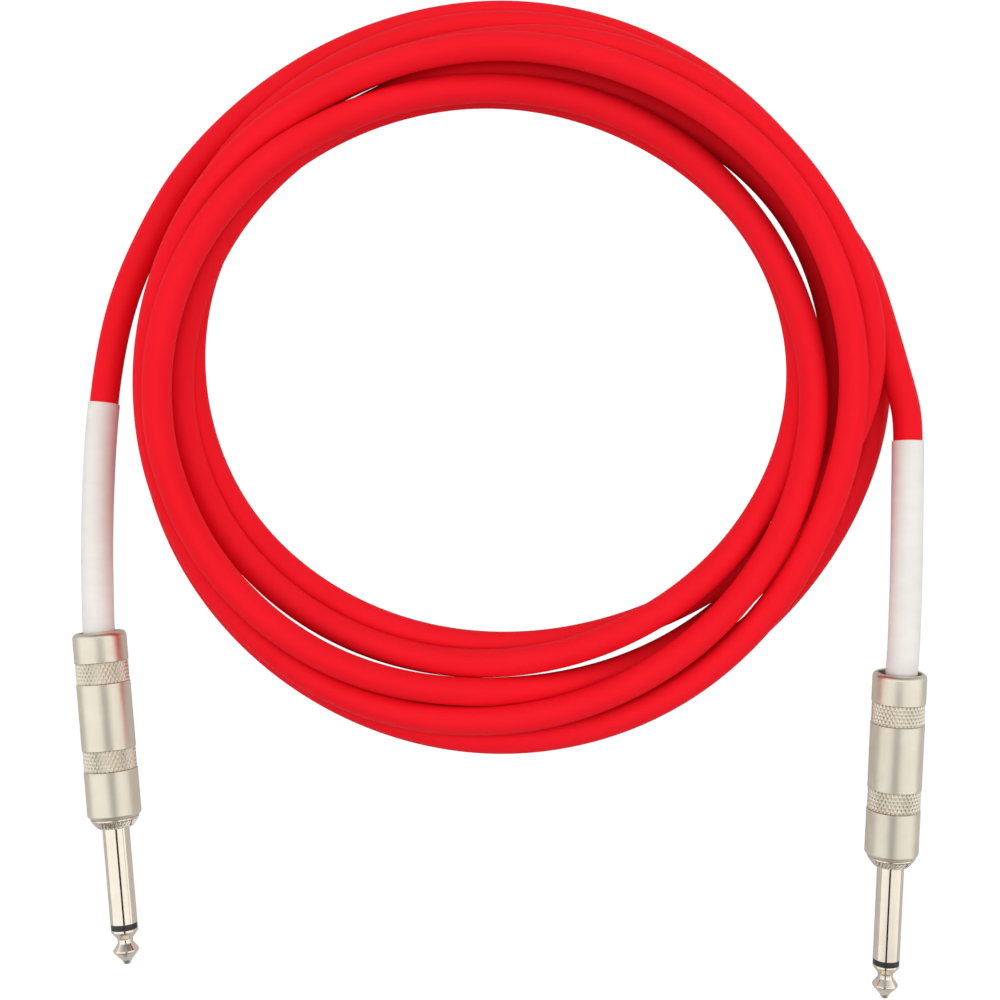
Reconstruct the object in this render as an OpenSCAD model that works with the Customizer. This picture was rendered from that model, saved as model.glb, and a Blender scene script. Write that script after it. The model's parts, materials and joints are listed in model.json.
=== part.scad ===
// Instrument cable: a coiled audio cable with a straight 6.35 mm plug at each end.
// Millimetres, +Z up, origin on the floor midway between the two plugs.
// A plug is drawn along +Z from its barrel's rear face towards its tip, then laid on the floor.

/* [Cable] */
// Outer diameter of the cable's jacket
cable_d = 6.8; // [6:0.1:7]
// Distance from the plugs' midpoint back to the middle of the coil
coil_y = 78.6; // [76:0.1:82]
// Inner radius of the coil
coil_inner_r = 62; // [50:1:70]
// Outer radius of the coil
coil_outer_r = 90; // [84:1:91]
// Height of the coil's stacked turns
coil_h = 28; // [18:1:28]

/* [Heat shrink sleeve] */
// Outer diameter of the sleeve over the cable
sleeve_d = 7.5; // [7.2:0.1:8.2]
// How far the sleeve reaches into the barrel
sleeve_inside = 4; // [2:0.5:6]

/* [Barrel] */
// Outer diameter of the barrel
barrel_d = 12.7; // [12.4:0.1:13.4]
// Length of the barrel
barrel_l = 44.5; // [44:0.1:46]
// Diameter of the cable opening in the barrel's rear wall
rear_hole_d = 10; // [9.6:0.1:10.2]
// Thickness of the rear wall
rear_wall = 1.5; // [1:0.1:2]
// Corner radius of the rear rim
rim_r = 1.2; // [0.6:0.1:1.4]
// Bore of the barrel over the liner
bore_d = 11.5; // [11.4:0.1:11.6]
// Where each knurled band starts
knurl_starts = [7.1, 28];
// Length of a knurled band
knurl_l = 5.1; // [4:0.1:6]
// Depth to which a knurled band is recessed
knurl_depth = 0.2; // [0.1:0.05:0.3]
// Axial length of the front chamfer
nose_l = 0.8; // [0.6:0.1:1.6]

/* [Thread] */
// Major diameter of the collar's thread
thread_d = 10.4; // [10:0.1:10.6]
// Thread pitch, which couples the barrel's turning to its travel
thread_pitch = 0.8; // [0.6:0.1:1]
// Depth of the thread
thread_depth = 0.4; // [0.3:0.05:0.5]
// Radial running clearance between the thread and the barrel
thread_gap = 0.05; // [0.03:0.01:0.1]

/* [Collar] */
// Where the collar's rear face lies
collar_start = 38.5; // [38:0.1:39]
// Length of the serrated skirt in front of the barrel
skirt_l = 2.4; // [2:0.1:3]
// Skirt diameter against the barrel
skirt_rear_d = 11.4; // [11:0.1:11.6]
// Skirt diameter at its front
skirt_front_d = 8.4; // [8:0.1:10]

/* [Contacts] */
// Diameter of the plug's shaft, a standard size
shaft_d = 6.35; // [6.35]
// Length of the shaft's cylindrical sleeve contact in front of the skirt
shaft_l = 23.2; // [21:0.1:24]
// Length of the insulating ring behind the tip
ring_l = 1.3; // [1.2:0.1:1.8]
// Diameter of the shaft's stem, which is pressed into the collar
stem_d = 6; // [5.8:0.1:6.2]
// Diameter of the tip's neck
neck_d = 3.6; // [3.4:0.1:4.2]
// Diameter of the rod that carries the tip
rod_d = 2.4; // [2:0.1:2.6]
// Outer diameter of the insulating tube round the rod
insulator_d = 4.2; // [4:0.1:4.6]

/* [Wiring] */
// Where the jacket ends inside the barrel
jacket_end = 17; // [16:0.5:18]
// Diameter of the insulated core
core_d = 2.6; // [2:0.1:2.8]
// Diameter of the bare twisted strands
strand_d = 1.2; // [0.8:0.1:1.4]
// Diameter of the twisted shield
pigtail_d = 1.6; // [1.2:0.1:1.8]

/* [Hidden] */

$fn = 96;
cord_sides = 12;
cable_r = cable_d / 2;

thread_end = barrel_l - 0.2;
skirt_start = barrel_l + 0.05;
stem_start = collar_start + 1;
shaft_start = barrel_l + skirt_l;
ring_start = shaft_start + shaft_l;
tip_start = ring_start + ring_l;
neck_z = tip_start + 2.8;
bulge_z = neck_z + 2.5;
point_z = bulge_z + 3.2;

// Plug a lies on its barrel. Plug b rests on its barrel's front edge and on its tip, so it dips.
shoulder_z = barrel_l - nose_l;
dip_b = atan((barrel_d - shaft_d) / 2 / (bulge_z - shoulder_z));
rear_b = barrel_d / 2 * cos(dip_b) + shoulder_z * sin(dip_b);

// Each plug: the middle of its rear face, its heading away from -Y, and how far its tip dips
plug_a = [-96.2, 16.8, barrel_d / 2, 4.9, 0];
plug_b = [94.95, 7.5, rear_b, -1.4, dip_b];

// How far to the side of its plug's axis the cable crosses each barrel's rear face
shift_a = 0;
shift_b = 0.4;

// Middle of the cable from the barrel to the end of the sleeve
sleeve_route_a = [
    [-96.5, 25, 6.3], [-96.7, 36, 6.1], [-96.6, 48, 5.7], [-96.2, 60, 5.2], [-95.4, 71.5, 4.7]
];
sleeve_route_b = [
    [95.6, 14.4, 11.5], [95.9, 26.3, 12.1], [96.1, 38.2, 12.3], [96.3, 50, 12.2], [96.5, 62.3, 11.8]
];
// Middle of the cable from the end of the sleeve to the coil
lead_route_a = [
    [-93.6, 85, 4.1], [-90.2, 98.5, 3.6], [-84.5, 111.9, 3.4], [-77.6, 124, 3.4],
    [-68.3, 135.3, 3.4]
];
lead_route_b = [
    [96.2, 69, 11.5], [94.2, 77.7, 11], [90.2, 92, 10.5], [85.1, 105.1, 10.1], [80, 113.1, 10],
    [73.8, 121.9, 10]
];

// The stack behind the collar: clamp eyelet, washer, terminal, then the rod's peened head
eyelet_t = 0.6;
washer_t = 1;
terminal_t = 0.5;
head_t = 0.6;
eyelet_start = collar_start - eyelet_t;
washer_start = eyelet_start - washer_t;
terminal_start = washer_start - terminal_t;
head_start = terminal_start - head_t;
// The clamp's strip and the terminal's lug run towards the rear, below and above the axis
strip_w = 4;
strip_bottom = -4.7;
strip_top = -4.1;
lug_bottom = 1.9;
strands_end = 34;
core_end = 27;
core_lift = lug_bottom - core_d / 2;
pigtail_y = strip_top + pigtail_d / 2;

function unit(v) = v / norm(v);

function heading(route, i) =
    unit(route[min(i + 1, len(route) - 1)] - route[max(i - 1, 0)]);

// One ring of points round a route's point, in the plane across the route
function ring(route, i, r, up, n) =
    let (ahead = heading(route, i), side = unit(cross(ahead, up)), over = cross(side, ahead))
    [for (k = [0:n - 1]) route[i] + r * (cos(360 * k / n) * side + sin(360 * k / n) * over)];

function skin(first, rings, n, outward) = [
    for (i = [0:rings - 2], k = [0:n - 1])
        let (a = first + i * n + k, b = first + i * n + (k + 1) % n)
        outward ? [a, b, b + n, a + n] : [a + n, b + n, b, a]
];

// A solid tube along a route
module rod_along(route, d, up = [0, 0, 1], n = cord_sides) {
    rings = len(route);
    points = [for (i = [0:rings - 1]) each ring(route, i, d / 2, up, n)];
    front = [for (k = [0:n - 1]) n - 1 - k];
    back = [for (k = [0:n - 1]) (rings - 1) * n + k];
    polyhedron(points, concat([front], skin(0, rings, n, true), [back]));
}

// A hollow tube along a route
module pipe_along(route, d, hole, up = [0, 0, 1], n = cord_sides) {
    rings = len(route);
    inner = rings * n;
    last = (rings - 1) * n;
    points = [for (r = [d / 2, hole / 2], i = [0:rings - 1]) each ring(route, i, r, up, n)];
    front = [for (k = [0:n - 1]) let (m = (k + 1) % n) [k, inner + k, inner + m, m]];
    back = [for (k = [0:n - 1]) let (m = (k + 1) % n)
        [last + k, last + m, inner + last + m, inner + last + k]];
    polyhedron(points, concat(
        skin(0, rings, n, true), skin(inner, rings, n, false), front, back));
}

// A disc with a hole, or a plain tube, along the plug's axis
module washer(start, length, d, hole) {
    translate([0, 0, start])
        difference() {
            cylinder(d = d, h = length);
            translate([0, 0, -1]) cylinder(d = hole, h = length + 2);
        }
}

// Lays a plug on the floor with its tip pointing away from the coil
module at_plug(place) {
    translate([place[0], place[1], place[2]])
        rotate([0, 0, place[3]])
            rotate([90 + place[4], 0, 0])
                children();
}

// A point on a plug's axis, s from its rear face towards the tip
function on_axis(place, s) =
    let (level = s * cos(place[4]))
    [
        place[0] + level * sin(place[3]),
        place[1] - level * cos(place[3]),
        place[2] - s * sin(place[4])
    ];

module coil() {
    corner = 3;
    color([0.85, 0.03, 0.06])
        translate([0, coil_y, 0])
            rotate_extrude($fn = 180)
                polygon([
                    for (q = [0:3], step = [0:6])
                        let (right = q == 0 || q == 3, above = q < 2, turn = 90 * q + 15 * step)
                        [
                            (right ? coil_outer_r - corner : coil_inner_r + corner)
                                + corner * cos(turn),
                            (above ? coil_h - corner : corner) + corner * sin(turn)
                        ]
                ]);
}

// The cable's middle inside a barrel, from the end of the jacket to the rear face
function inside(place, shift, from_jacket) = [
    if (from_jacket) on_axis(place, jacket_end),
    if (from_jacket) on_axis(place, 7.5),
    on_axis(place, sleeve_inside) + [shift / 2, 0, 0],
    on_axis(place, 0) + [shift, 0, 0]
];

module lead(place, shift, sleeve_route, lead_route) {
    color([0.85, 0.03, 0.06])
        rod_along(concat(inside(place, shift, true), sleeve_route, lead_route), cable_d);
}

module heat_shrink(place, shift, sleeve_route) {
    color("white")
        pipe_along(concat(inside(place, shift, false), sleeve_route), sleeve_d, cable_d + 0.1);
}

module barrel() {
    r = barrel_d / 2;
    knurl_r = r - knurl_depth;
    thread_bore_r = thread_d / 2 + thread_gap;
    thread_bore_start = collar_start - 0.5;
    rim = [for (turn = [-90:15:0]) [r - rim_r + rim_r * cos(turn), rim_r + rim_r * sin(turn)]];
    bands = [
        for (start = knurl_starts)
            each [[r, start], [knurl_r, start], [knurl_r, start + knurl_l], [r, start + knurl_l]]
    ];
    color([0.77, 0.73, 0.66])
        rotate_extrude()
            polygon(concat([[rear_hole_d / 2, 0]], rim, bands, [
                [r, barrel_l - nose_l], [r - 0.75, barrel_l], [thread_bore_r, barrel_l],
                [thread_bore_r, thread_bore_start], [bore_d / 2, thread_bore_start - 0.5],
                [bore_d / 2, rear_wall], [rear_hole_d / 2, rear_wall]
            ]));
}

module barrel_liner() {
    start = rear_wall + 0.2;
    color("dimgray") washer(start, eyelet_start - 0.7 - start, bore_d - 0.2, bore_d - 0.8);
}

module collar() {
    r = thread_d / 2;
    turns = floor((thread_end - collar_start) / thread_pitch);
    thread = [
        for (t = [0:turns - 1])
            let (z = collar_start + t * thread_pitch)
            each [[r - thread_depth, z], [r, z + 0.3 * thread_pitch], [r, z + 0.5 * thread_pitch],
                [r - thread_depth, z + 0.8 * thread_pitch]]
    ];
    skirt = [
        [r - thread_depth, skirt_start], [skirt_rear_d / 2, skirt_start],
        [skirt_rear_d / 2, skirt_start + 0.4], [skirt_front_d / 2, shaft_start]
    ];
    color([0.8, 0.77, 0.7])
        rotate_extrude()
            polygon(concat([[insulator_d / 2, collar_start]], thread, skirt, [
                [stem_d / 2, shaft_start], [stem_d / 2, stem_start],
                [insulator_d / 2, stem_start]
            ]));
}

module sleeve_contact() {
    color("silver")
        rotate_extrude()
            polygon([
                [insulator_d / 2, stem_start], [stem_d / 2, stem_start],
                [stem_d / 2, shaft_start], [shaft_d / 2, shaft_start],
                [shaft_d / 2, ring_start], [insulator_d / 2, ring_start]
            ]);
}

module rod_insulator() {
    color("ivory") washer(eyelet_start, ring_start - eyelet_start, insulator_d, rod_d);
}

module tip_ring() {
    color("black") washer(ring_start, ring_l, shaft_d, rod_d);
}

// The peened head, the rod through the whole plug, and the tip with its locking neck
module tip_contact() {
    r = shaft_d / 2;
    rod_r = rod_d / 2;
    color("silver")
        rotate_extrude()
            polygon([
                [0, head_start], [rod_r + 0.6, head_start], [rod_r + 0.6, terminal_start],
                [rod_r, terminal_start], [rod_r, tip_start], [r, tip_start],
                [r, tip_start + 0.6], [neck_d / 2 + 0.3, neck_z - 0.8], [neck_d / 2, neck_z],
                [neck_d / 2 + 0.4, neck_z + 0.8], [r - 0.2, bulge_z - 0.4], [r, bulge_z],
                [r - 0.3, bulge_z + 0.5], [0.9, point_z - 0.6], [0.5, point_z - 0.1], [0, point_z]
            ]);
}

module rear_washer() {
    color("sienna") washer(washer_start, washer_t, 7.6, rod_d);
}

module tip_terminal() {
    color("gold") {
        washer(terminal_start, terminal_t, 6, rod_d);
        translate([-1.2, lug_bottom, strands_end - 5])
            cube([2.4, 0.5, terminal_start + terminal_t - strands_end + 5]);
    }
}

// An eyelet under the collar, a strip along the barrel, and a clamp bent round the jacket
module ground_clamp() {
    clamp_start = 8;
    clamp_l = 5;
    color("silver") {
        washer(eyelet_start, eyelet_t, 9.4, insulator_d);
        translate([-strip_w / 2, strip_bottom, clamp_start])
            cube([strip_w, strip_top - strip_bottom, collar_start - clamp_start]);
        translate([0, 0, clamp_start])
            rotate([0, 0, 120])
                rotate_extrude(angle = 300)
                    translate([cable_r + 0.05, 0]) square([0.75, clamp_l]);
    }
}

module core_wire() {
    color("white")
        rod_along([
            [0, 0, jacket_end], [0, 0, jacket_end + 2], [0, core_lift, core_end - 2],
            [0, core_lift, core_end]
        ], core_d, [0, 1, 0]);
}

module core_strands() {
    y = lug_bottom - strand_d / 2;
    color("peru")
        rod_along([
            [0, core_lift, core_end], [0, core_lift, core_end + 1], [0, y, core_end + 4],
            [0, y, strands_end]
        ], strand_d, [0, 1, 0], 8);
}

module shield_pigtail() {
    color("peru")
        rod_along([
            [0, -2.4, jacket_end], [0, -2.4, jacket_end + 2], [0, pigtail_y, 23],
            [0, pigtail_y, 28]
        ], pigtail_d, [0, 1, 0], 8);
}

module solder_tip() {
    color("lightgray")
        intersection() {
            translate([0, lug_bottom, strands_end - 2]) sphere(r = 1.1);
            translate([-2, lug_bottom - 2, strands_end - 4]) cube([4, 2, 4]);
        }
}

module solder_ground() {
    color("lightgray")
        intersection() {
            translate([0, strip_top, 26]) sphere(r = 1.6);
            translate([-2, strip_top, 24]) cube([4, 2, 4]);
        }
}

coil();  // cable_coil
lead(plug_a, shift_a, sleeve_route_a, lead_route_a);  // cable_lead_a
lead(plug_b, shift_b, sleeve_route_b, lead_route_b);  // cable_lead_b

heat_shrink(plug_a, shift_a, sleeve_route_a);  // heat_shrink_a
at_plug(plug_a) barrel();  // barrel_a
at_plug(plug_a) barrel_liner();  // barrel_liner_a
at_plug(plug_a) collar();  // collar_a
at_plug(plug_a) sleeve_contact();  // sleeve_contact_a
at_plug(plug_a) rod_insulator();  // rod_insulator_a
at_plug(plug_a) tip_ring();  // tip_ring_a
at_plug(plug_a) tip_contact();  // tip_contact_a
at_plug(plug_a) rear_washer();  // rear_washer_a
at_plug(plug_a) tip_terminal();  // tip_terminal_a
at_plug(plug_a) ground_clamp();  // ground_clamp_a
at_plug(plug_a) core_wire();  // core_wire_a
at_plug(plug_a) core_strands();  // core_strands_a
at_plug(plug_a) shield_pigtail();  // shield_pigtail_a
at_plug(plug_a) solder_tip();  // solder_tip_a
at_plug(plug_a) solder_ground();  // solder_ground_a

heat_shrink(plug_b, shift_b, sleeve_route_b);  // heat_shrink_b
at_plug(plug_b) barrel();  // barrel_b
at_plug(plug_b) barrel_liner();  // barrel_liner_b
at_plug(plug_b) collar();  // collar_b
at_plug(plug_b) sleeve_contact();  // sleeve_contact_b
at_plug(plug_b) rod_insulator();  // rod_insulator_b
at_plug(plug_b) tip_ring();  // tip_ring_b
at_plug(plug_b) tip_contact();  // tip_contact_b
at_plug(plug_b) rear_washer();  // rear_washer_b
at_plug(plug_b) tip_terminal();  // tip_terminal_b
at_plug(plug_b) ground_clamp();  // ground_clamp_b
at_plug(plug_b) core_wire();  // core_wire_b
at_plug(plug_b) core_strands();  // core_strands_b
at_plug(plug_b) shield_pigtail();  // shield_pigtail_b
at_plug(plug_b) solder_tip();  // solder_tip_b
at_plug(plug_b) solder_ground();  // solder_ground_b
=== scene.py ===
# The looks of the instrument cable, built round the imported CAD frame.
# Sizes are in millimetres until skin() or place() hands them to Blender in metres.
import json
import math

import bpy
import numpy as np
from mathutils import Matrix, Vector


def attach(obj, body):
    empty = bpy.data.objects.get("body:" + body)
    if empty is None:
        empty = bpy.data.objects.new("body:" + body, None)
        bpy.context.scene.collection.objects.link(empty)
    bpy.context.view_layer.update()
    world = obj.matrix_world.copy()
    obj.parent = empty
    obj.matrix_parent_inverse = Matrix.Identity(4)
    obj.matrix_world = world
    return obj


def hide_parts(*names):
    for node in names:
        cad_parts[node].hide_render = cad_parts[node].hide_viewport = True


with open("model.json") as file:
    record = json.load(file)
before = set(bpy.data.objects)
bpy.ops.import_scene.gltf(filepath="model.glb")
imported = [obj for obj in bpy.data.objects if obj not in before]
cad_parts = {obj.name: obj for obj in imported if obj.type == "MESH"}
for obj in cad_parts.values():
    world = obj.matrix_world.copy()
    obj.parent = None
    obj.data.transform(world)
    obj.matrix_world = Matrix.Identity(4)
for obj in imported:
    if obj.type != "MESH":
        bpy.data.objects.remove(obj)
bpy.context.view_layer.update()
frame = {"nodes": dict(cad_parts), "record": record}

MM = 0.001

# ---------------------------------------------------------------- where the plugs lie

MOUNT_S = 59.45
PLUGS = {}
for mount in frame["record"]["mounts"]:
    tipward = Vector(mount["axis"]).normalized()
    side = Vector((0, 0, 1)).cross(tipward).normalized()
    up = tipward.cross(side)
    rear = Vector(mount["pos_m"]) - tipward * MOUNT_S * MM
    turn = Matrix((side, up, tipward)).transposed().to_4x4()
    PLUGS[mount["name"][-1]] = Matrix.Translation(rear) @ turn


def on_axis(end, s):
    """The point on a plug's axis that is s mm from its barrel's rear face towards the tip."""
    return np.array(PLUGS[end] @ Vector((0, 0, s * MM))) / MM


# ---------------------------------------------------------------- the cable's route

CABLE_D = 6.8
SLEEVE_D = 7.5
SLEEVE_INSIDE = 4
JACKET_END = 17
COIL_MIDDLE = np.array([0.0, 78.6])

# The middle of the cable from each barrel to the end of its sleeve, as the CAD has it
SLEEVE_A = [
    (-96.5, 25, 6.3), (-96.7, 36, 6.1), (-96.6, 48, 5.7), (-96.2, 60, 5.2), (-95.4, 71.5, 4.7),
]
SLEEVE_B = [
    (95.6, 14.4, 11.5), (95.9, 26.3, 12.1), (96.1, 38.2, 12.3), (96.3, 50, 12.2),
    (96.5, 62.3, 11.8),
]
# How far to the side of its plug's axis the cable crosses each barrel's rear face
SHIFT = {"a": 0, "b": 0.4}
# and from there to the coil
LEAD_A = [
    (-93.6, 85, 4.1), (-90.2, 98.5, 3.6), (-84.5, 111.9, 3.4), (-77.6, 124, 3.4),
    (-68.3, 135.3, 3.4),
]
LEAD_B = [
    (96.2, 69, 11.5), (94.2, 77.7, 11), (90.2, 92, 10.5), (85.1, 105.1, 10.1), (80, 113.1, 10),
    (73.8, 121.9, 10),
]

# The coil runs from the right-hand plug to the left-hand one, counter-clockwise. Each row is a
# turn: how far out the cable lies every 30 degrees from the +X side. The first turn starts at 60
# degrees, where the lead joins it, and the last ends at 120. The radii are measurements and follow
# no rule: a separate script gave their first values, and many were then changed by hand.
TURN_STEP = 30
FIRST_TURN = 60
TURNS = [
    [83.5, 83, 82.5, 83, 84.5, 86.5, 87.4, 87.8, 86.4, 83.5],
    [82, 79.5, 76, 75, 76, 79.7, 82, 83.6, 84.8, 82.4, 79, 76],
    [73.5, 70, 68, 66.8, 68.7, 74, 78.5, 80, 78.5, 75.8, 77.3, 80],
    [81.3, 80, 74.3, 72.3, 70.5, 73.1, 76.2, 75.5, 72, 69, 68, 69.7],
    [72, 70.8, 67.8, 67.8, 70.6, 75.2, 74.5, 71.2, 67, 65.4, 68.3, 76.7],
    [86.9, 84.8, 81.5, 78, 77.2, 81.2, 83, 82.4, 80.8, 80.7, 84.6, 88],
    [91, 87.9, 87, 87, 87.2],
]
# Which stretch lies on which, at the same places: where two cross, the higher number is on top
ORDER = [
    [1, 1, 1, 0, 0, 0, 0, 0, 1, 3],
    [4, 3, 3, 3, 3, 2, 2, 2, 2, 3, 2, 4],
    [4, 3, 3, 3, 4, 4, 4, 4, 4, 2.5, 0.9, 1],
    [0.5, 0.5, 0.5, 0.5, 0.5, 0.5, 0.5, 0.5, 1, 1.8, 2, 1.5],
    [0, 0, 0, 0, 0, 0, 0, 0, 0, 0, 1, 1.3],
    [2, 2, 2, 2, 2, 1, 1, 1, 1, 0, -1, -1],
    [0] * 5,
]

# The cable settles on points this far apart, and its route is handed on in finer steps
STATION = 6.0
PATH_STEP = 1.5
# How the settling goes: rounds of smoothing, what each takes off a bend and how far the cable sinks
SETTLING_ROUNDS = 1500
STIFFNESS = 0.5
WEIGHT = 0.02
# Stations fewer than this many apart are the same stretch, which can't lie over itself
SAME_STRETCH = 12


def curve_through(places, values, wanted):
    """A smooth curve through values at places, read at the wanted places."""
    count = len(places)
    gap = np.diff(places)
    matrix = np.eye(count)
    right = np.zeros_like(values)
    for i in range(1, count - 1):
        matrix[i, i - 1:i + 2] = gap[i - 1], 2 * (gap[i - 1] + gap[i]), gap[i]
        ahead = (values[i + 1] - values[i]) / gap[i]
        behind = (values[i] - values[i - 1]) / gap[i - 1]
        right[i] = 6 * (ahead - behind)
    bend = np.linalg.solve(matrix, right)
    i = np.clip(np.searchsorted(places, wanted) - 1, 0, count - 2)
    t = (wanted - places[i])[:, None]
    g = gap[i][:, None]
    slope = (values[i + 1] - values[i]) / g - g * (2 * bend[i] + bend[i + 1]) / 6
    return values[i] + t * (slope + t * (bend[i] / 2 + t * (bend[i + 1] - bend[i]) / (6 * g)))


def arc_length(points):
    return np.concatenate([[0], np.cumsum(np.linalg.norm(np.diff(points, axis=0), axis=1))])


def coil_points():
    """The places of the coil's points, seen from above."""
    reach = np.concatenate(TURNS)
    turn = np.radians(FIRST_TURN + TURN_STEP * np.arange(len(reach)))
    return COIL_MIDDLE + reach[:, None] * np.column_stack([np.cos(turn), np.sin(turn)])


def crossings(flat, order):
    """Pairs of stations, upper and lower, that lie over each other, and how far apart they must
    be in height."""
    ahead = np.gradient(flat, axis=0)
    ahead /= np.linalg.norm(ahead, axis=1)[:, None]
    apart = np.linalg.norm(flat[:, None] - flat[None], axis=2)
    index = np.arange(len(flat))
    first, second = np.nonzero(
        (apart < CABLE_D + STATION) & (index[:, None] < index[None] - SAME_STRETCH)
    )
    between = flat[first] - flat[second]
    along = ahead[first] + ahead[second]
    along /= np.linalg.norm(along, axis=1)[:, None]
    abreast = np.abs((between * along).sum(axis=1)) < 0.6 * STATION
    across = np.abs(between[:, 0] * along[:, 1] - between[:, 1] * along[:, 0])
    chosen = abreast & (across < CABLE_D)
    first, second, across = first[chosen], second[chosen], across[chosen]
    first_above = order[first] > order[second]
    upper = np.where(first_above, first, second)
    lower = np.where(first_above, second, first)
    return upper, lower, np.sqrt(CABLE_D ** 2 - across ** 2)


def settle(flat, order, held, held_z):
    """The height of each station once the cable lies on the floor and on itself."""
    upper, lower, need = crossings(flat, order)
    floor = CABLE_D / 2
    z = np.where(held, held_z, floor + 4 * np.maximum(order, 0))

    def push_apart(z, rounds):
        for _ in range(rounds):
            short = np.maximum(need - (z[upper] - z[lower]), 0) / 2
            lift = np.zeros_like(z)
            drop = np.zeros_like(z)
            np.maximum.at(lift, upper, short)
            np.maximum.at(drop, lower, short)
            z = np.where(held, held_z, np.maximum(z + lift - drop, floor))
        return z

    for _ in range(SETTLING_ROUNDS):
        for reach in (1, 2, 3):
            smooth = z.copy()
            smooth[2 * reach:-2 * reach] = (
                4 * z[reach:-3 * reach] + 4 * z[3 * reach:-reach] - z[:-4 * reach] - z[4 * reach:]
            ) / 6
            z += STIFFNESS * (smooth - z)
        z = np.where(held, held_z, z - WEIGHT)
        z = push_apart(z, 5)
    return push_apart(z, 300)


def inside(end):
    """The cable's middle inside a barrel, from the end of the jacket to the rear face."""
    shift = np.array([SHIFT[end], 0, 0])
    return [on_axis(end, JACKET_END), on_axis(end, 7.5),
            on_axis(end, SLEEVE_INSIDE) + shift / 2, on_axis(end, 0) + shift]


def cable_path():
    """The cable's middle from inside one barrel to inside the other, in steps of PATH_STEP."""
    start = np.array([*inside("b"), *SLEEVE_B, *LEAD_B])
    end = np.array([*LEAD_A[::-1], *SLEEVE_A[::-1], *inside("a")[::-1]])
    coil = coil_points()
    flat = np.vstack([start[:, :2], coil, end[:, :2]])
    places = arc_length(flat)
    count = round(places[-1] / STATION) + 1
    stations = np.linspace(0, places[-1], count)
    laid = curve_through(places, flat, stations)

    order = np.concatenate([np.ones(len(start)), *ORDER, np.zeros(len(end))])
    coil_start = places[len(start) - len(LEAD_B)]
    coil_end = places[len(start) + len(coil) + len(LEAD_A) - 1]
    held = (stations <= coil_start) | (stations >= coil_end)
    held_places = np.concatenate([places[:len(start)], places[-len(end):]])
    held_z = np.interp(stations, held_places, np.concatenate([start[:, 2], end[:, 2]]))
    z = settle(laid, np.interp(stations, places, order), held, held_z)

    route = np.column_stack([laid, z])
    lengths = arc_length(route)
    wanted = np.linspace(0, lengths[-1], round(lengths[-1] / PATH_STEP) + 1)
    return curve_through(lengths, route, wanted)


# ---------------------------------------------------------------- making meshes


def add_object(name, data):
    made = bpy.data.objects.new(name, data)
    bpy.context.scene.collection.objects.link(made)
    return made


def finish_mesh(name, points, faces, uvs, body, sharp=30):
    """A mesh object from points in metres, with smooth faces, that rides on a body."""
    mesh = bpy.data.meshes.new(name)
    mesh.from_pydata(points, [], faces)
    layer = mesh.uv_layers.new(name="Laid")
    corners = np.array([v for face in faces for v in face])
    layer.data.foreach_set("uv", np.asarray(uvs)[corners].astype(np.float32).ravel())
    mesh.shade_smooth()
    mesh.set_sharp_from_angle(angle=math.radians(sharp))
    mesh.validate()
    piece = add_object(name, mesh)
    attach(piece, body)
    return piece


def skin(rings, closed):
    """The points, faces and UVs of a skin over rings of points; closed joins the last to the first.
    A ring that is a single point closes the skin there. UVs are (part of a turn, mm along)."""
    sides = max(len(ring) for ring in rings)
    points = []
    uvs = []
    first = []
    along = 0.0
    for i, ring in enumerate(rings):
        if i:
            along += float(np.linalg.norm(ring[0] - rings[i - 1][0]))
        first.append(len(points))
        points.extend(ring)
        uvs.extend((k / sides, along) for k in range(len(ring)))
    faces = []
    pairs = len(rings) if closed else len(rings) - 1
    for i in range(pairs):
        j = (i + 1) % len(rings)
        for k in range(sides):
            m = (k + 1) % sides
            near = [first[i] + k, first[i] + m] if len(rings[i]) > 1 else [first[i]]
            far = [first[j] + m, first[j] + k] if len(rings[j]) > 1 else [first[j]]
            faces.append(near + far)
    return np.array(points), faces, uvs


def rounded(corners, closed=True, steps=5):
    """An outline of (s, r, radius) corners with each corner turned into an arc."""
    points = []
    for i, (s, r, radius) in enumerate(corners):
        here = np.array([s, r], float)
        if radius == 0 or (not closed and i in (0, len(corners) - 1)):
            points.append(here)
            continue
        back = np.array(corners[i - 1][:2]) - here
        on = np.array(corners[(i + 1) % len(corners)][:2]) - here
        back /= np.linalg.norm(back)
        on /= np.linalg.norm(on)
        half = math.acos(np.clip(back @ on, -1, 1)) / 2
        centre = here + (back + on) / np.linalg.norm(back + on) * radius / math.sin(half)
        start = here + back * radius / math.tan(half) - centre
        end = here + on * radius / math.tan(half) - centre
        swept = math.pi - 2 * half
        for step in range(steps + 1):
            t = step / steps
            points.append(
                centre + (math.sin((1 - t) * swept) * start + math.sin(t * swept) * end)
                / math.sin(swept)
            )
    return points


def circle(s, r, sides, twist=0.0):
    """A ring round a plug's axis; r is one radius or one for each point."""
    if np.max(r) < 1e-6:
        return np.array([[0, 0, s]], float)
    turn = 2 * np.pi * np.arange(sides) / sides - math.pi / 2 + twist
    return np.column_stack([r * np.cos(turn), r * np.sin(turn), np.full(sides, float(s))])


def place(name, end, rings, closed, body, sharp=30):
    """A turned piece, made from rings round the plug's axis and laid where the plug lies."""
    points, faces, uvs = skin(rings, closed)
    to_world = np.array(PLUGS[end])
    world = points * MM @ to_world[:3, :3].T + to_world[:3, 3]
    piece = finish_mesh(name, world, faces, uvs, body, sharp)
    weigh_normals(piece)
    return piece


def weigh_normals(piece):
    weigh = piece.modifiers.new("Normals", "WEIGHTED_NORMAL")
    weigh.keep_sharp = True


def turned(name, end, corners, body, closed=True, sides=128, sharp=30):
    rings = [circle(s, r, sides) for s, r in rounded(corners, closed)]
    return place(name, end, rings, closed, body, sharp)


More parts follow.
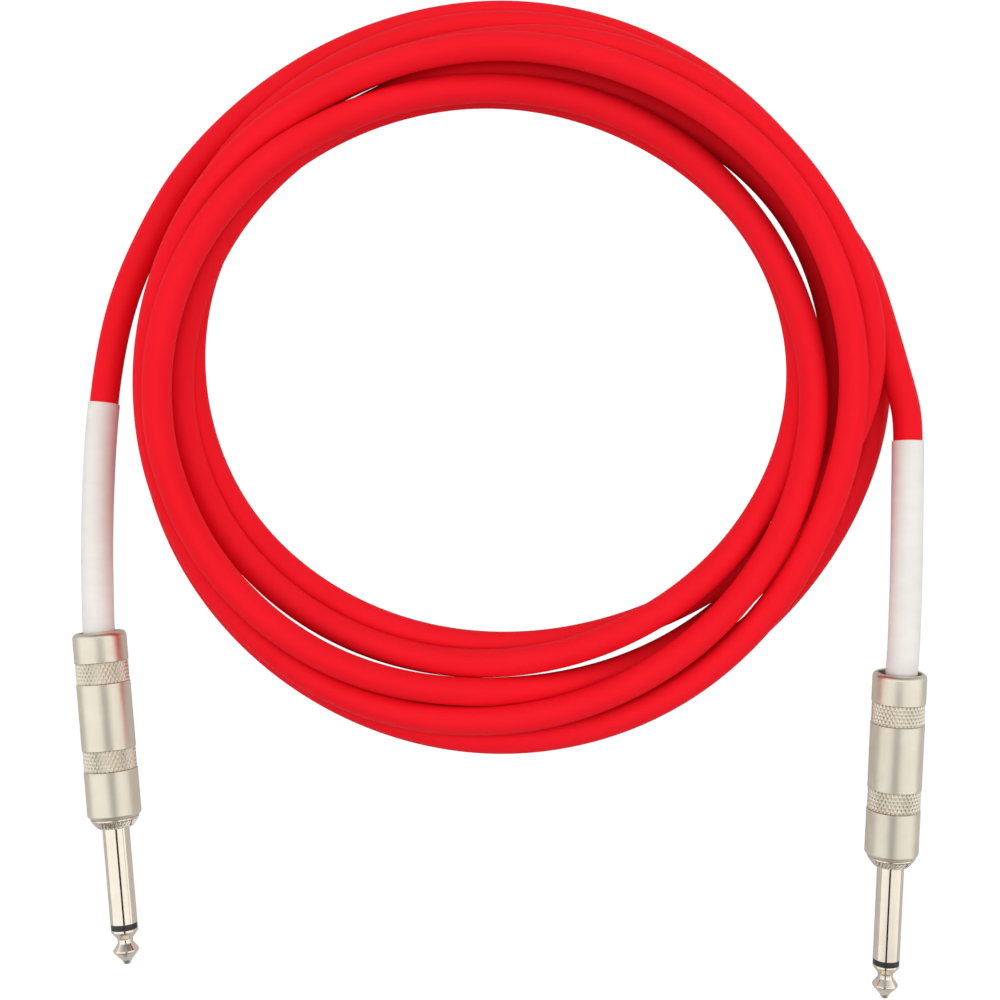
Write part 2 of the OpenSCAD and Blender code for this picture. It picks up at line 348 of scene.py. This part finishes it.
def sweep(path, profile_rings):
    """Rings along a path, one for each of profile_rings' (place on the path, radius)."""
    lengths = arc_length(path)
    ahead = np.gradient(path, axis=0)
    ahead /= np.linalg.norm(ahead, axis=1)[:, None]
    rings = []
    for s, r, sides in profile_rings:
        middle = np.array([np.interp(s, lengths, path[:, k]) for k in range(3)])
        way = np.array([np.interp(s, lengths, ahead[:, k]) for k in range(3)])
        way /= np.linalg.norm(way)
        side = np.cross(way, [0, 0, 1])
        side /= np.linalg.norm(side)
        over = np.cross(side, way)
        turn = 2 * np.pi * np.arange(sides) / sides - math.pi / 2
        rings.append(middle + r * (np.cos(turn)[:, None] * side + np.sin(turn)[:, None] * over))
    return rings


# ---------------------------------------------------------------- materials


class Finish:
    """A node-based material: a Principled shader with helpers for what feeds it."""

    def __init__(self, name, colour, roughness, metallic=0.0, specular=0.5):
        self.material = bpy.data.materials.new(name)
        self.material.use_nodes = True
        self.tree = self.material.node_tree
        self.shader = self.tree.nodes["Principled BSDF"]
        self.set("Base Color", (*colour, 1))
        self.set("Roughness", roughness)
        self.set("Metallic", metallic)
        self.set("Specular IOR Level", specular)

    def set(self, socket, value):
        self.shader.inputs[socket].default_value = value

    def node(self, kind, **values):
        made = self.tree.nodes.new(kind)
        for key, value in values.items():
            if key in made.inputs:
                made.inputs[key].default_value = value
            else:
                setattr(made, key, value)
        return made

    def link(self, source, target):
        self.tree.links.new(source, target)

    def laid(self, scale):
        """The piece's own coordinates, a part of a turn and mm along it, scaled."""
        uv = self.node("ShaderNodeUVMap", uv_map="Laid")
        mapping = self.node("ShaderNodeMapping")
        mapping.inputs["Scale"].default_value = scale
        self.link(uv.outputs["UV"], mapping.inputs["Vector"])
        return mapping.outputs["Vector"]

    def solid(self, scale=(1, 1, 1)):
        """The object's own coordinates in metres, scaled."""
        place_in = self.node("ShaderNodeTexCoord")
        mapping = self.node("ShaderNodeMapping")
        mapping.inputs["Scale"].default_value = scale
        self.link(place_in.outputs["Object"], mapping.inputs["Vector"])
        return mapping.outputs["Vector"]

    def noise(self, where, scale, detail=3.0, rough=0.6):
        made = self.node("ShaderNodeTexNoise")
        made.inputs["Scale"].default_value = scale
        made.inputs["Detail"].default_value = detail
        made.inputs["Roughness"].default_value = rough
        self.link(where, made.inputs["Vector"])
        return made.outputs["Fac"]

    def spread(self, value, low, high, start=0.35, stop=0.65):
        """value, from start to stop, spread from low to high."""
        made = self.node("ShaderNodeMapRange")
        for socket, number in (
            ("From Min", start), ("From Max", stop), ("To Min", low), ("To Max", high),
        ):
            made.inputs[socket].default_value = number
        self.link(value, made.inputs["Value"])
        return made.outputs["Result"]

    def mix(self, value, first, second, target="Base Color"):
        # Sockets 6 and 7 are a Mix node's two colours, and output 2 is their mix
        made = self.node("ShaderNodeMix", data_type="RGBA")
        made.inputs[6].default_value = (*first, 1)
        made.inputs[7].default_value = (*second, 1)
        self.link(value, made.inputs[0])
        self.link(made.outputs[2], self.shader.inputs[target])

    def feed(self, value, socket):
        self.link(value, self.shader.inputs[socket])

    def bump(self, height, depth, strength=1.0):
        """Relief of depth metres where height goes from 0 to 1."""
        normal_in = self.shader.inputs["Normal"]
        made = self.node("ShaderNodeBump")
        made.inputs["Distance"].default_value = depth
        made.inputs["Strength"].default_value = strength
        if normal_in.is_linked:
            self.link(normal_in.links[0].from_socket, made.inputs["Normal"])
        self.link(height, made.inputs["Height"])
        self.link(made.outputs["Normal"], normal_in)

    def on(self, *pieces):
        for piece in pieces:
            piece.data.materials.clear()
            piece.data.materials.append(self.material)


def jacket_finish():
    """Satin red flexible vinyl: a fine grain, and faint lines along it from the extruder."""
    vinyl = Finish("jacket_red", (0.82, 0.008, 0.018), 0.6, specular=0.1)
    grain = vinyl.noise(vinyl.solid(), 900, 4)
    lines = vinyl.noise(vinyl.laid((60, 0.02, 1)), 1.0, 2)
    broad = vinyl.noise(vinyl.solid(), 28, 3)
    vinyl.mix(vinyl.spread(broad, 0, 1), (0.80, 0.007, 0.016), (0.84, 0.009, 0.020))
    vinyl.feed(vinyl.spread(broad, 0.56, 0.66), "Roughness")
    vinyl.bump(grain, 0.00002)
    vinyl.bump(lines, 0.00002)
    return vinyl


def sleeve_finish():
    """White heat-shrink: a soft sheen, slightly uneven where it shrank."""
    tube = Finish("sleeve_white", (0.79, 0.765, 0.72), 0.42, specular=0.25)
    tube.set("Subsurface Weight", 0.15)
    tube.set("Subsurface Radius", (0.002, 0.0016, 0.0012))
    tube.set("Subsurface Scale", 0.5)
    ripple = tube.noise(tube.laid((3, 0.25, 1)), 1.0, 2)
    grain = tube.noise(tube.solid(), 1600, 2)
    tube.mix(tube.spread(ripple, 0, 1), (0.77, 0.745, 0.70), (0.81, 0.785, 0.74))
    tube.feed(tube.spread(ripple, 0.38, 0.48), "Roughness")
    tube.bump(ripple, 0.00003)
    tube.bump(grain, 0.000008)
    return tube


def satin_nickel():
    """Pearl nickel: finely blasted, with faint turning lines round it."""
    plate = Finish("satin_nickel", (0.82, 0.76, 0.63), 0.36, 1.0)
    lines = plate.noise(plate.laid((4, 9, 1)), 1.0, 3)
    blast = plate.noise(plate.solid(), 5200, 2)
    broad = plate.noise(plate.solid(), 160, 2)
    plate.mix(plate.spread(broad, 0, 1), (0.80, 0.74, 0.61), (0.84, 0.78, 0.65))
    plate.feed(plate.spread(lines, 0.32, 0.42), "Roughness")
    plate.bump(blast, 0.000012)
    plate.bump(lines, 0.000006)
    return plate


def polished_nickel():
    """Bright nickel with a few hairlines round it from plugging in and out."""
    plate = Finish("polished_nickel", (0.87, 0.79, 0.67), 0.1, 1.0)
    hair = plate.noise(plate.laid((2, 24, 1)), 1.0, 4, 0.7)
    broad = plate.noise(plate.solid(), 220, 2)
    plate.mix(plate.spread(broad, 0, 1), (0.85, 0.77, 0.65), (0.89, 0.81, 0.69))
    plate.feed(plate.spread(hair, 0.07, 0.13), "Roughness")
    plate.bump(hair, 0.0000015)
    return plate


def plastic(name, colour, other, roughness, grain=1200, depth=0.00001):
    """A moulded or extruded plastic with a fine grain and a little unevenness in its colour."""
    made = Finish(name, colour, roughness)
    fine = made.noise(made.solid(), grain, 3)
    broad = made.noise(made.solid(), 120, 2)
    made.mix(made.spread(broad, 0, 1), colour, other)
    made.feed(made.spread(fine, roughness - 0.05, roughness + 0.07), "Roughness")
    made.bump(fine, depth)
    return made


def metal(name, colour, other, roughness, depth=0.00001):
    """A plain worked metal, with an uneven tarnish and rolling marks."""
    made = Finish(name, colour, roughness, 1.0)
    marks = made.noise(made.solid((1, 6, 1)), 900, 4)
    tarnish = made.noise(made.solid(), 300, 3)
    made.mix(made.spread(tarnish, 0, 1), colour, other)
    made.feed(made.spread(marks, roughness - 0.06, roughness + 0.1), "Roughness")
    made.bump(marks, depth)
    return made


# ---------------------------------------------------------------- pieces


def make_cable(path, finish):
    """The whole cable as one tube, from jacket end to jacket end."""
    sides = 32
    lengths = arc_length(path)
    edge = 0.4
    radius = CABLE_D / 2
    body = [(s, radius, sides) for s in lengths[1:-1]]
    first = [(0, radius - edge, sides), (0.08, radius - 0.1, sides), (edge, radius, sides)]
    total = lengths[-1]
    last = [(total - edge, radius, sides), (total - 0.08, radius - 0.1, sides),
            (total, radius - edge, sides)]
    rings = sweep(path, first + body + last)
    rings = [path[:1]] + rings + [path[-1:]]
    points, faces, uvs = skin(rings, False)
    piece = finish_mesh("cable", points * MM, faces, uvs, "cable", 50)
    finish.on(piece)
    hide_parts("cable_coil", "cable_lead_a", "cable_lead_b")
    return piece, total * MM


def make_sleeve(end, path, sleeve_end, finish):
    """The white tube shrunk over the cable, from inside the barrel to sleeve_end."""
    sides = 48
    lengths = arc_length(path)
    nearest = int(np.argmin(np.linalg.norm(path - np.array(sleeve_end), axis=1)))
    start, stop = sorted([
        lengths[nearest],
        JACKET_END - SLEEVE_INSIDE if end == "b" else lengths[-1] - JACKET_END + SLEEVE_INSIDE,
    ])
    outer = SLEEVE_D / 2
    inner = CABLE_D / 2 + 0.02
    lip = 0.2
    places = np.linspace(start + lip, stop - lip, round((stop - start) / 1.2))
    outside = [(start, outer - lip, sides), (start + lip * 0.3, outer - lip * 0.3, sides)]
    outside += [(s, outer, sides) for s in places]
    outside += [(stop - lip * 0.3, outer - lip * 0.3, sides), (stop, outer - lip, sides)]
    lining = [(s, inner, sides) for s in (stop, *places[::-2], start)]
    rings = sweep(path, outside + lining)
    points, faces, uvs = skin(rings, True)
    piece = finish_mesh(f"sleeve_{end}", points * MM, faces, uvs, "cable", 50)
    finish.on(piece)
    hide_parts(f"heat_shrink_{end}")
    return piece


# Places along a plug, from its barrel's rear face, and radii, as the CAD has them
BARREL_L = 44.5
BARREL_R = 6.35
BORE_R = 5.75
THREAD_BORE_R = 5.25
REAR_WALL = 1.5
REAR_HOLE_R = 5
COLLAR_START = 38.5
COLLAR_END = 46.9
STEM_START = 39.5
STEM_R = 3
SHAFT_R = 3.175
SHAFT_BORE_R = 2.1
SHAFT_END = 70.1
RING_END = 71.4
ROD_R = 1.2
ROD_HEAD_R = 1.8
NECK_R = 1.8
THREAD_PITCH = 0.8

KNURL_STARTS = (7.1, 28)
KNURL_L = 5.1
KNURL_SINK = 0.12
KNURL_DEPTH = 0.28
KNURL_ANGLE = 30
# Diamonds round the barrel, and points of the mesh across each
KNURL_ROUND = 38
KNURL_SAMPLES = 8


def knurl_rings(start, sides):
    """Rings of a band of diamond points, cut by two crossing sets of grooves."""
    peak = BARREL_R - KNURL_SINK
    diamond_w = 2 * math.pi * peak / KNURL_ROUND
    diamond_l = diamond_w / math.tan(math.radians(KNURL_ANGLE))
    rows = round(KNURL_L / diamond_l * 2 * KNURL_SAMPLES)
    around = np.arange(sides) / KNURL_SAMPLES
    rings = []
    for row in range(rows + 1):
        s = start + KNURL_L * row / rows
        along = KNURL_L * row / rows / diamond_l
        one = (around + along) % 1
        other = (around - along) % 1
        height = np.minimum.reduce([one, 1 - one, other, 1 - other]) * 2
        rings.append(circle(
            s, peak - KNURL_DEPTH * (1 - np.minimum(height * 1.35, 1)), sides
        ))
    return rings


def make_barrel(end, finish):
    sides = KNURL_ROUND * KNURL_SAMPLES
    valley = BARREL_R - KNURL_SINK - KNURL_DEPTH
    rim = rounded([
        (REAR_WALL, REAR_HOLE_R, 0.1), (0, REAR_HOLE_R, 0.25), (0, BARREL_R, 1.2),
        (KNURL_STARTS[0], BARREL_R, 0),
    ], closed=False, steps=8)
    rings = [circle(s, r, sides) for s, r in rim[:-1]]
    for start in KNURL_STARTS:
        edge = 0.07
        rings += [circle(start - edge, BARREL_R, sides), circle(start, BARREL_R - edge, sides)]
        rings.append(circle(start + 0.03, valley, sides))
        rings += knurl_rings(start, sides)[1:-1]
        rings.append(circle(start + KNURL_L - 0.03, valley, sides))
        rings += [circle(start + KNURL_L, BARREL_R - edge, sides),
                  circle(start + KNURL_L + edge, BARREL_R, sides)]
    nose = rounded([
        (40, BARREL_R, 0), (43.7, BARREL_R, 0.4), (BARREL_L, BARREL_R - 0.7, 0.15),
        (BARREL_L, THREAD_BORE_R, 0.05), (38, THREAD_BORE_R, 0), (37.5, BORE_R, 0),
        (REAR_WALL, BORE_R, 0), (REAR_WALL, REAR_HOLE_R, 0),
    ], closed=False)
    rings += [circle(s, r, sides) for s, r in nose[1:-1]]
    piece = place(f"barrel_shell_{end}", end, rings, True, f"barrel_{end}", 32)
    finish.on(piece)
    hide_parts(f"barrel_{end}")
    return piece


def make_collar(end, finish):
    """The threaded body, with slanting serrations on the skirt that shows."""
    teeth = 32
    sides = teeth * 10
    root, crest = 4.8, 5.2
    turn = np.arange(sides) / sides
    rings = [circle(COLLAR_START, 4.4, sides)]
    for s in np.arange(38.6, 44.3, 0.08):
        phase = ((s - COLLAR_START) / THREAD_PITCH - turn) % 1
        flank = np.clip(np.abs(phase - 0.5) / 0.35 - 0.1, 0, 1)
        fade = min(1, (s - COLLAR_START) / THREAD_PITCH, (44.4 - s) / 0.4)
        rings.append(circle(s, root + (crest - root) * (1 - flank) * fade, sides))
    rings += [circle(44.4, root, sides), circle(44.55, root, sides), circle(44.55, 5.6, sides),
              circle(44.62, 5.7, sides), circle(44.8, 5.7, sides)]
    steps = 14
    for step in range(steps + 1):
        t = step / steps
        s = 44.85 + 1.95 * t
        r = 5.7 - 1.45 * t ** 1.2
        tooth = (turn * teeth - 1.1 * t) % 1
        groove = np.clip(1 - np.abs(tooth - 0.5) / 0.3, 0, 1)
        ease = min(1, t * 6, (1 - t) * 6)
        rings.append(circle(s, r - 0.42 * groove * ease, sides))
    rings += [circle(46.88, 4.15, sides), circle(COLLAR_END, 4.05, sides),
              circle(COLLAR_END, STEM_R, sides), circle(STEM_START, STEM_R, sides),
              circle(STEM_START, SHAFT_BORE_R, sides), circle(COLLAR_START, SHAFT_BORE_R, sides)]
    piece = place(f"collar_body_{end}", end, rings, True, "cable", 32)
    finish.on(piece)
    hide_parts(f"collar_{end}")
    return piece


def make_shaft(end, finish):
    corners = [
        (STEM_START, SHAFT_BORE_R, 0), (STEM_START, STEM_R, 0), (COLLAR_END, STEM_R, 0),
        (COLLAR_END, SHAFT_R, 0.08), (SHAFT_END, SHAFT_R, 0.12), (SHAFT_END, SHAFT_BORE_R, 0),
    ]
    piece = turned(f"shaft_{end}", end, corners, "cable")
    finish.on(piece)
    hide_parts(f"sleeve_contact_{end}")
    return piece


def make_ring(end, finish):
    outer = SHAFT_R - 0.03
    corners = [
        (SHAFT_END, ROD_R, 0), (SHAFT_END, outer, 0.08), (RING_END, outer, 0.08),
        (RING_END, ROD_R, 0),
    ]
    piece = turned(f"black_ring_{end}", end, corners, "cable")
    finish.on(piece)
    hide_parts(f"tip_ring_{end}")
    return piece


def make_tip(end, finish):
    """The tip with its flange, locking neck and point, and the rod back to its peened head."""
    corners = [
        (35.8, 0, 0), (35.8, ROD_HEAD_R, 0.25), (36.4, ROD_HEAD_R, 0.1), (36.4, ROD_R, 0),
        (RING_END, ROD_R, 0), (RING_END, SHAFT_R, 0.12), (72, SHAFT_R, 0.25),
        (73.7, NECK_R, 0.7), (74.7, NECK_R, 0.9), (76.6, SHAFT_R, 0.5), (78.9, 1.15, 0.6),
        (79.9, 0.75, 0.4), (79.9, 0, 0),
    ]
    piece = turned(f"tip_{end}", end, corners, "cable", closed=False)
    finish.on(piece)
    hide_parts(f"tip_contact_{end}")
    return piece


# ---------------------------------------------------------------- build

jacket = jacket_finish()
white_tube = sleeve_finish()
satin = satin_nickel()
bright = polished_nickel()
CAD_FINISHES = {
    "barrel_liner": plastic("liner_black", (0.03, 0.03, 0.032), (0.05, 0.05, 0.05), 0.5),
    "rod_insulator": plastic("insulator_ivory", (0.72, 0.66, 0.5), (0.78, 0.72, 0.58), 0.4),
    "rear_washer": plastic("fibre_washer", (0.30, 0.10, 0.05), (0.36, 0.14, 0.07), 0.7),
    "tip_terminal": metal("terminal_brass", (0.75, 0.52, 0.22), (0.68, 0.46, 0.2), 0.3),
    "ground_clamp": metal("clamp_tinplate", (0.72, 0.71, 0.68), (0.66, 0.65, 0.62), 0.32),
    "core_wire": plastic("core_insulation", (0.80, 0.79, 0.76), (0.85, 0.84, 0.8), 0.4),
    "core_strands": metal("bare_copper", (0.80, 0.40, 0.24), (0.70, 0.33, 0.2), 0.28),
    "shield_pigtail": metal("shield_copper", (0.78, 0.40, 0.25), (0.70, 0.34, 0.2), 0.3),
    "solder_tip": metal("solder", (0.62, 0.62, 0.62), (0.56, 0.56, 0.57), 0.25),
}
CAD_FINISHES["solder_ground"] = CAD_FINISHES["solder_tip"]
black = plastic("insulator_black", (0.012, 0.012, 0.012), (0.02, 0.019, 0.017), 0.32)

path = cable_path()
cable, cable_length = make_cable(path, jacket)

for end, sleeve_end in (("a", SLEEVE_A[-1]), ("b", SLEEVE_B[-1])):
    make_sleeve(end, path, sleeve_end, white_tube)
    make_barrel(end, satin)
    make_collar(end, bright)
    make_shaft(end, bright)
    make_ring(end, black)
    make_tip(end, bright)
    for kind, finish in CAD_FINISHES.items():
        finish.on(frame["nodes"][f"{kind}_{end}"])

# ---------------------------------------------------------------- floor, light and camera

CAMERA = np.array([0, 48.4, 400])
LENS = 59.07
# How far over a plug's axis its dark cards stand
CARD_HEIGHT = 60


def studio_piece(name, points, faces, finish):
    mesh = bpy.data.meshes.new(name)
    mesh.from_pydata(points, [], faces)
    made = add_object(name, mesh)
    finish.on(made)
    return made


def floor(name, finish, seen):
    """A large floor: one is what the camera sees, the other lights the cable and shows in it."""
    half = 3.0
    corners = [(-half, -half, 0), (half, -half, 0), (half, half, 0), (-half, half, 0)]
    made = studio_piece(name, corners, [(0, 1, 2, 3)], finish)
    made.visible_camera = seen
    made.visible_diffuse = made.visible_glossy = not seen


paper = Finish("paper_white", (0.3, 0.3, 0.3), 0.9, specular=0.0)
paper.set("Emission Color", (1, 1, 1, 1))
paper.set("Emission Strength", 0.95)
floor("paper", paper, True)
floor("bounce", Finish("bounce_white", (0.8, 0.8, 0.8), 0.9, specular=0.0), False)


def softbox(name, where, aim, size, power):
    light = bpy.data.lights.new(name, "AREA")
    light.shape = "RECTANGLE"
    light.size, light.size_y = size
    light.energy = power
    lamp = add_object(name, light)
    lamp.location = where
    lamp.rotation_euler = (Vector(aim) - Vector(where)).to_track_quat("-Z", "Y").to_euler()
    lamp.visible_glossy = False


def tent(radius, sides, ends):
    """A tent over everything, seen only in what shines: white at its sides, dark at its ends, so
    that knurls and grooves show."""
    columns, rows = 48, 12
    points = [(0, 0, radius)]
    for row in range(1, rows + 1):
        tilt = math.pi / 2 * row / rows
        for column in range(columns):
            turn = 2 * math.pi * column / columns
            points.append((
                radius * math.sin(tilt) * math.cos(turn), radius * math.sin(tilt) * math.sin(turn),
                radius * math.cos(tilt),
            ))
    faces = [(0, 1 + k, 1 + (k + 1) % columns) for k in range(columns)]
    for row in range(rows - 1):
        first = 1 + row * columns
        for k in range(columns):
            m = (k + 1) % columns
            faces.append((first + k, first + columns + k, first + columns + m, first + m))
    cloth = Finish("tent_white", (0, 0, 0), 1.0, specular=0.0)
    cloth.set("Emission Color", (1, 1, 1, 1))
    parts = cloth.node("ShaderNodeSeparateXYZ")
    cloth.link(cloth.solid(), parts.inputs[0])
    endways = cloth.node("ShaderNodeMath", operation="ABSOLUTE")
    cloth.link(parts.outputs["Y"], endways.inputs[0])
    cloth.feed(
        cloth.spread(endways.outputs[0], sides, ends, 0.35 * radius, 0.8 * radius),
        "Emission Strength",
    )
    cloth.material.cycles.emission_sampling = "NONE"
    made = studio_piece("tent", points, faces, cloth)
    made.visible_camera = made.visible_diffuse = made.visible_shadow = False
    made.visible_transmission = False


def dark_card(end, s_from, s_to, width, finish):
    """A dark card over a plug, seen only in what shines: the camera's dark line along the metal."""
    tipward = np.array(PLUGS[end].to_3x3() @ Vector((0, 0, 1)))
    corners = []
    for s, out in ((s_from, -1), (s_to, -1), (s_to, 1), (s_from, 1)):
        here = on_axis(end, s)
        towards = CAMERA - here
        mirrored = towards - 2 * (towards @ tipward) * tipward
        corner = here + mirrored * CARD_HEIGHT / mirrored[2]
        corners.append((corner + [out * width / 2, 0, 0]) * MM)
    card = studio_piece(f"card_{end}_{round(s_from)}", corners, [(0, 1, 2, 3)], finish)
    card.visible_camera = card.visible_diffuse = card.visible_shadow = False


card_grey = Finish("card_grey", (0, 0, 0), 0.9, specular=0.0)
card_grey.set("Emission Color", (1, 1, 1, 1))
card_grey.set("Emission Strength", 0.42)
card_black = Finish("card_black", (0.01, 0.01, 0.01), 0.9, specular=0.0)
for end in "ab":
    dark_card(end, -4, 46, 34, card_grey)
    dark_card(end, 46, 84, 17, card_black)

MIDDLE = (0, 0.05, 0)
softbox("softbox_top", (0, 0.05, 1.0), MIDDLE, (1.2, 1.2), 4.2)
softbox("softbox_left", (-1.4, 0.05, 0.85), MIDDLE, (0.8, 1.4), 10.5)
softbox("softbox_right", (1.4, 0.05, 0.85), MIDDLE, (0.8, 1.4), 10.5)
softbox("softbox_back", (0, 1.4, 0.85), MIDDLE, (1.4, 0.8), 6.5)
softbox("softbox_front", (0, -1.3, 0.85), MIDDLE, (1.4, 0.8), 3.5)
tent(1.8, 1.1, 0.22)

world = bpy.data.worlds.new("studio")
world.use_nodes = True
world.node_tree.nodes["Background"].inputs["Color"].default_value = (1, 1, 1, 1)
world.node_tree.nodes["Background"].inputs["Strength"].default_value = 0.3
bpy.context.scene.world = world
bpy.context.scene.view_settings.view_transform = "Standard"

camera_data = bpy.data.cameras.new("camera")
camera_data.lens = LENS
camera_data.sensor_width = 36
camera_data.clip_start = 0.01
camera = add_object("camera", camera_data)
camera.location = CAMERA * MM
bpy.context.scene.camera = camera
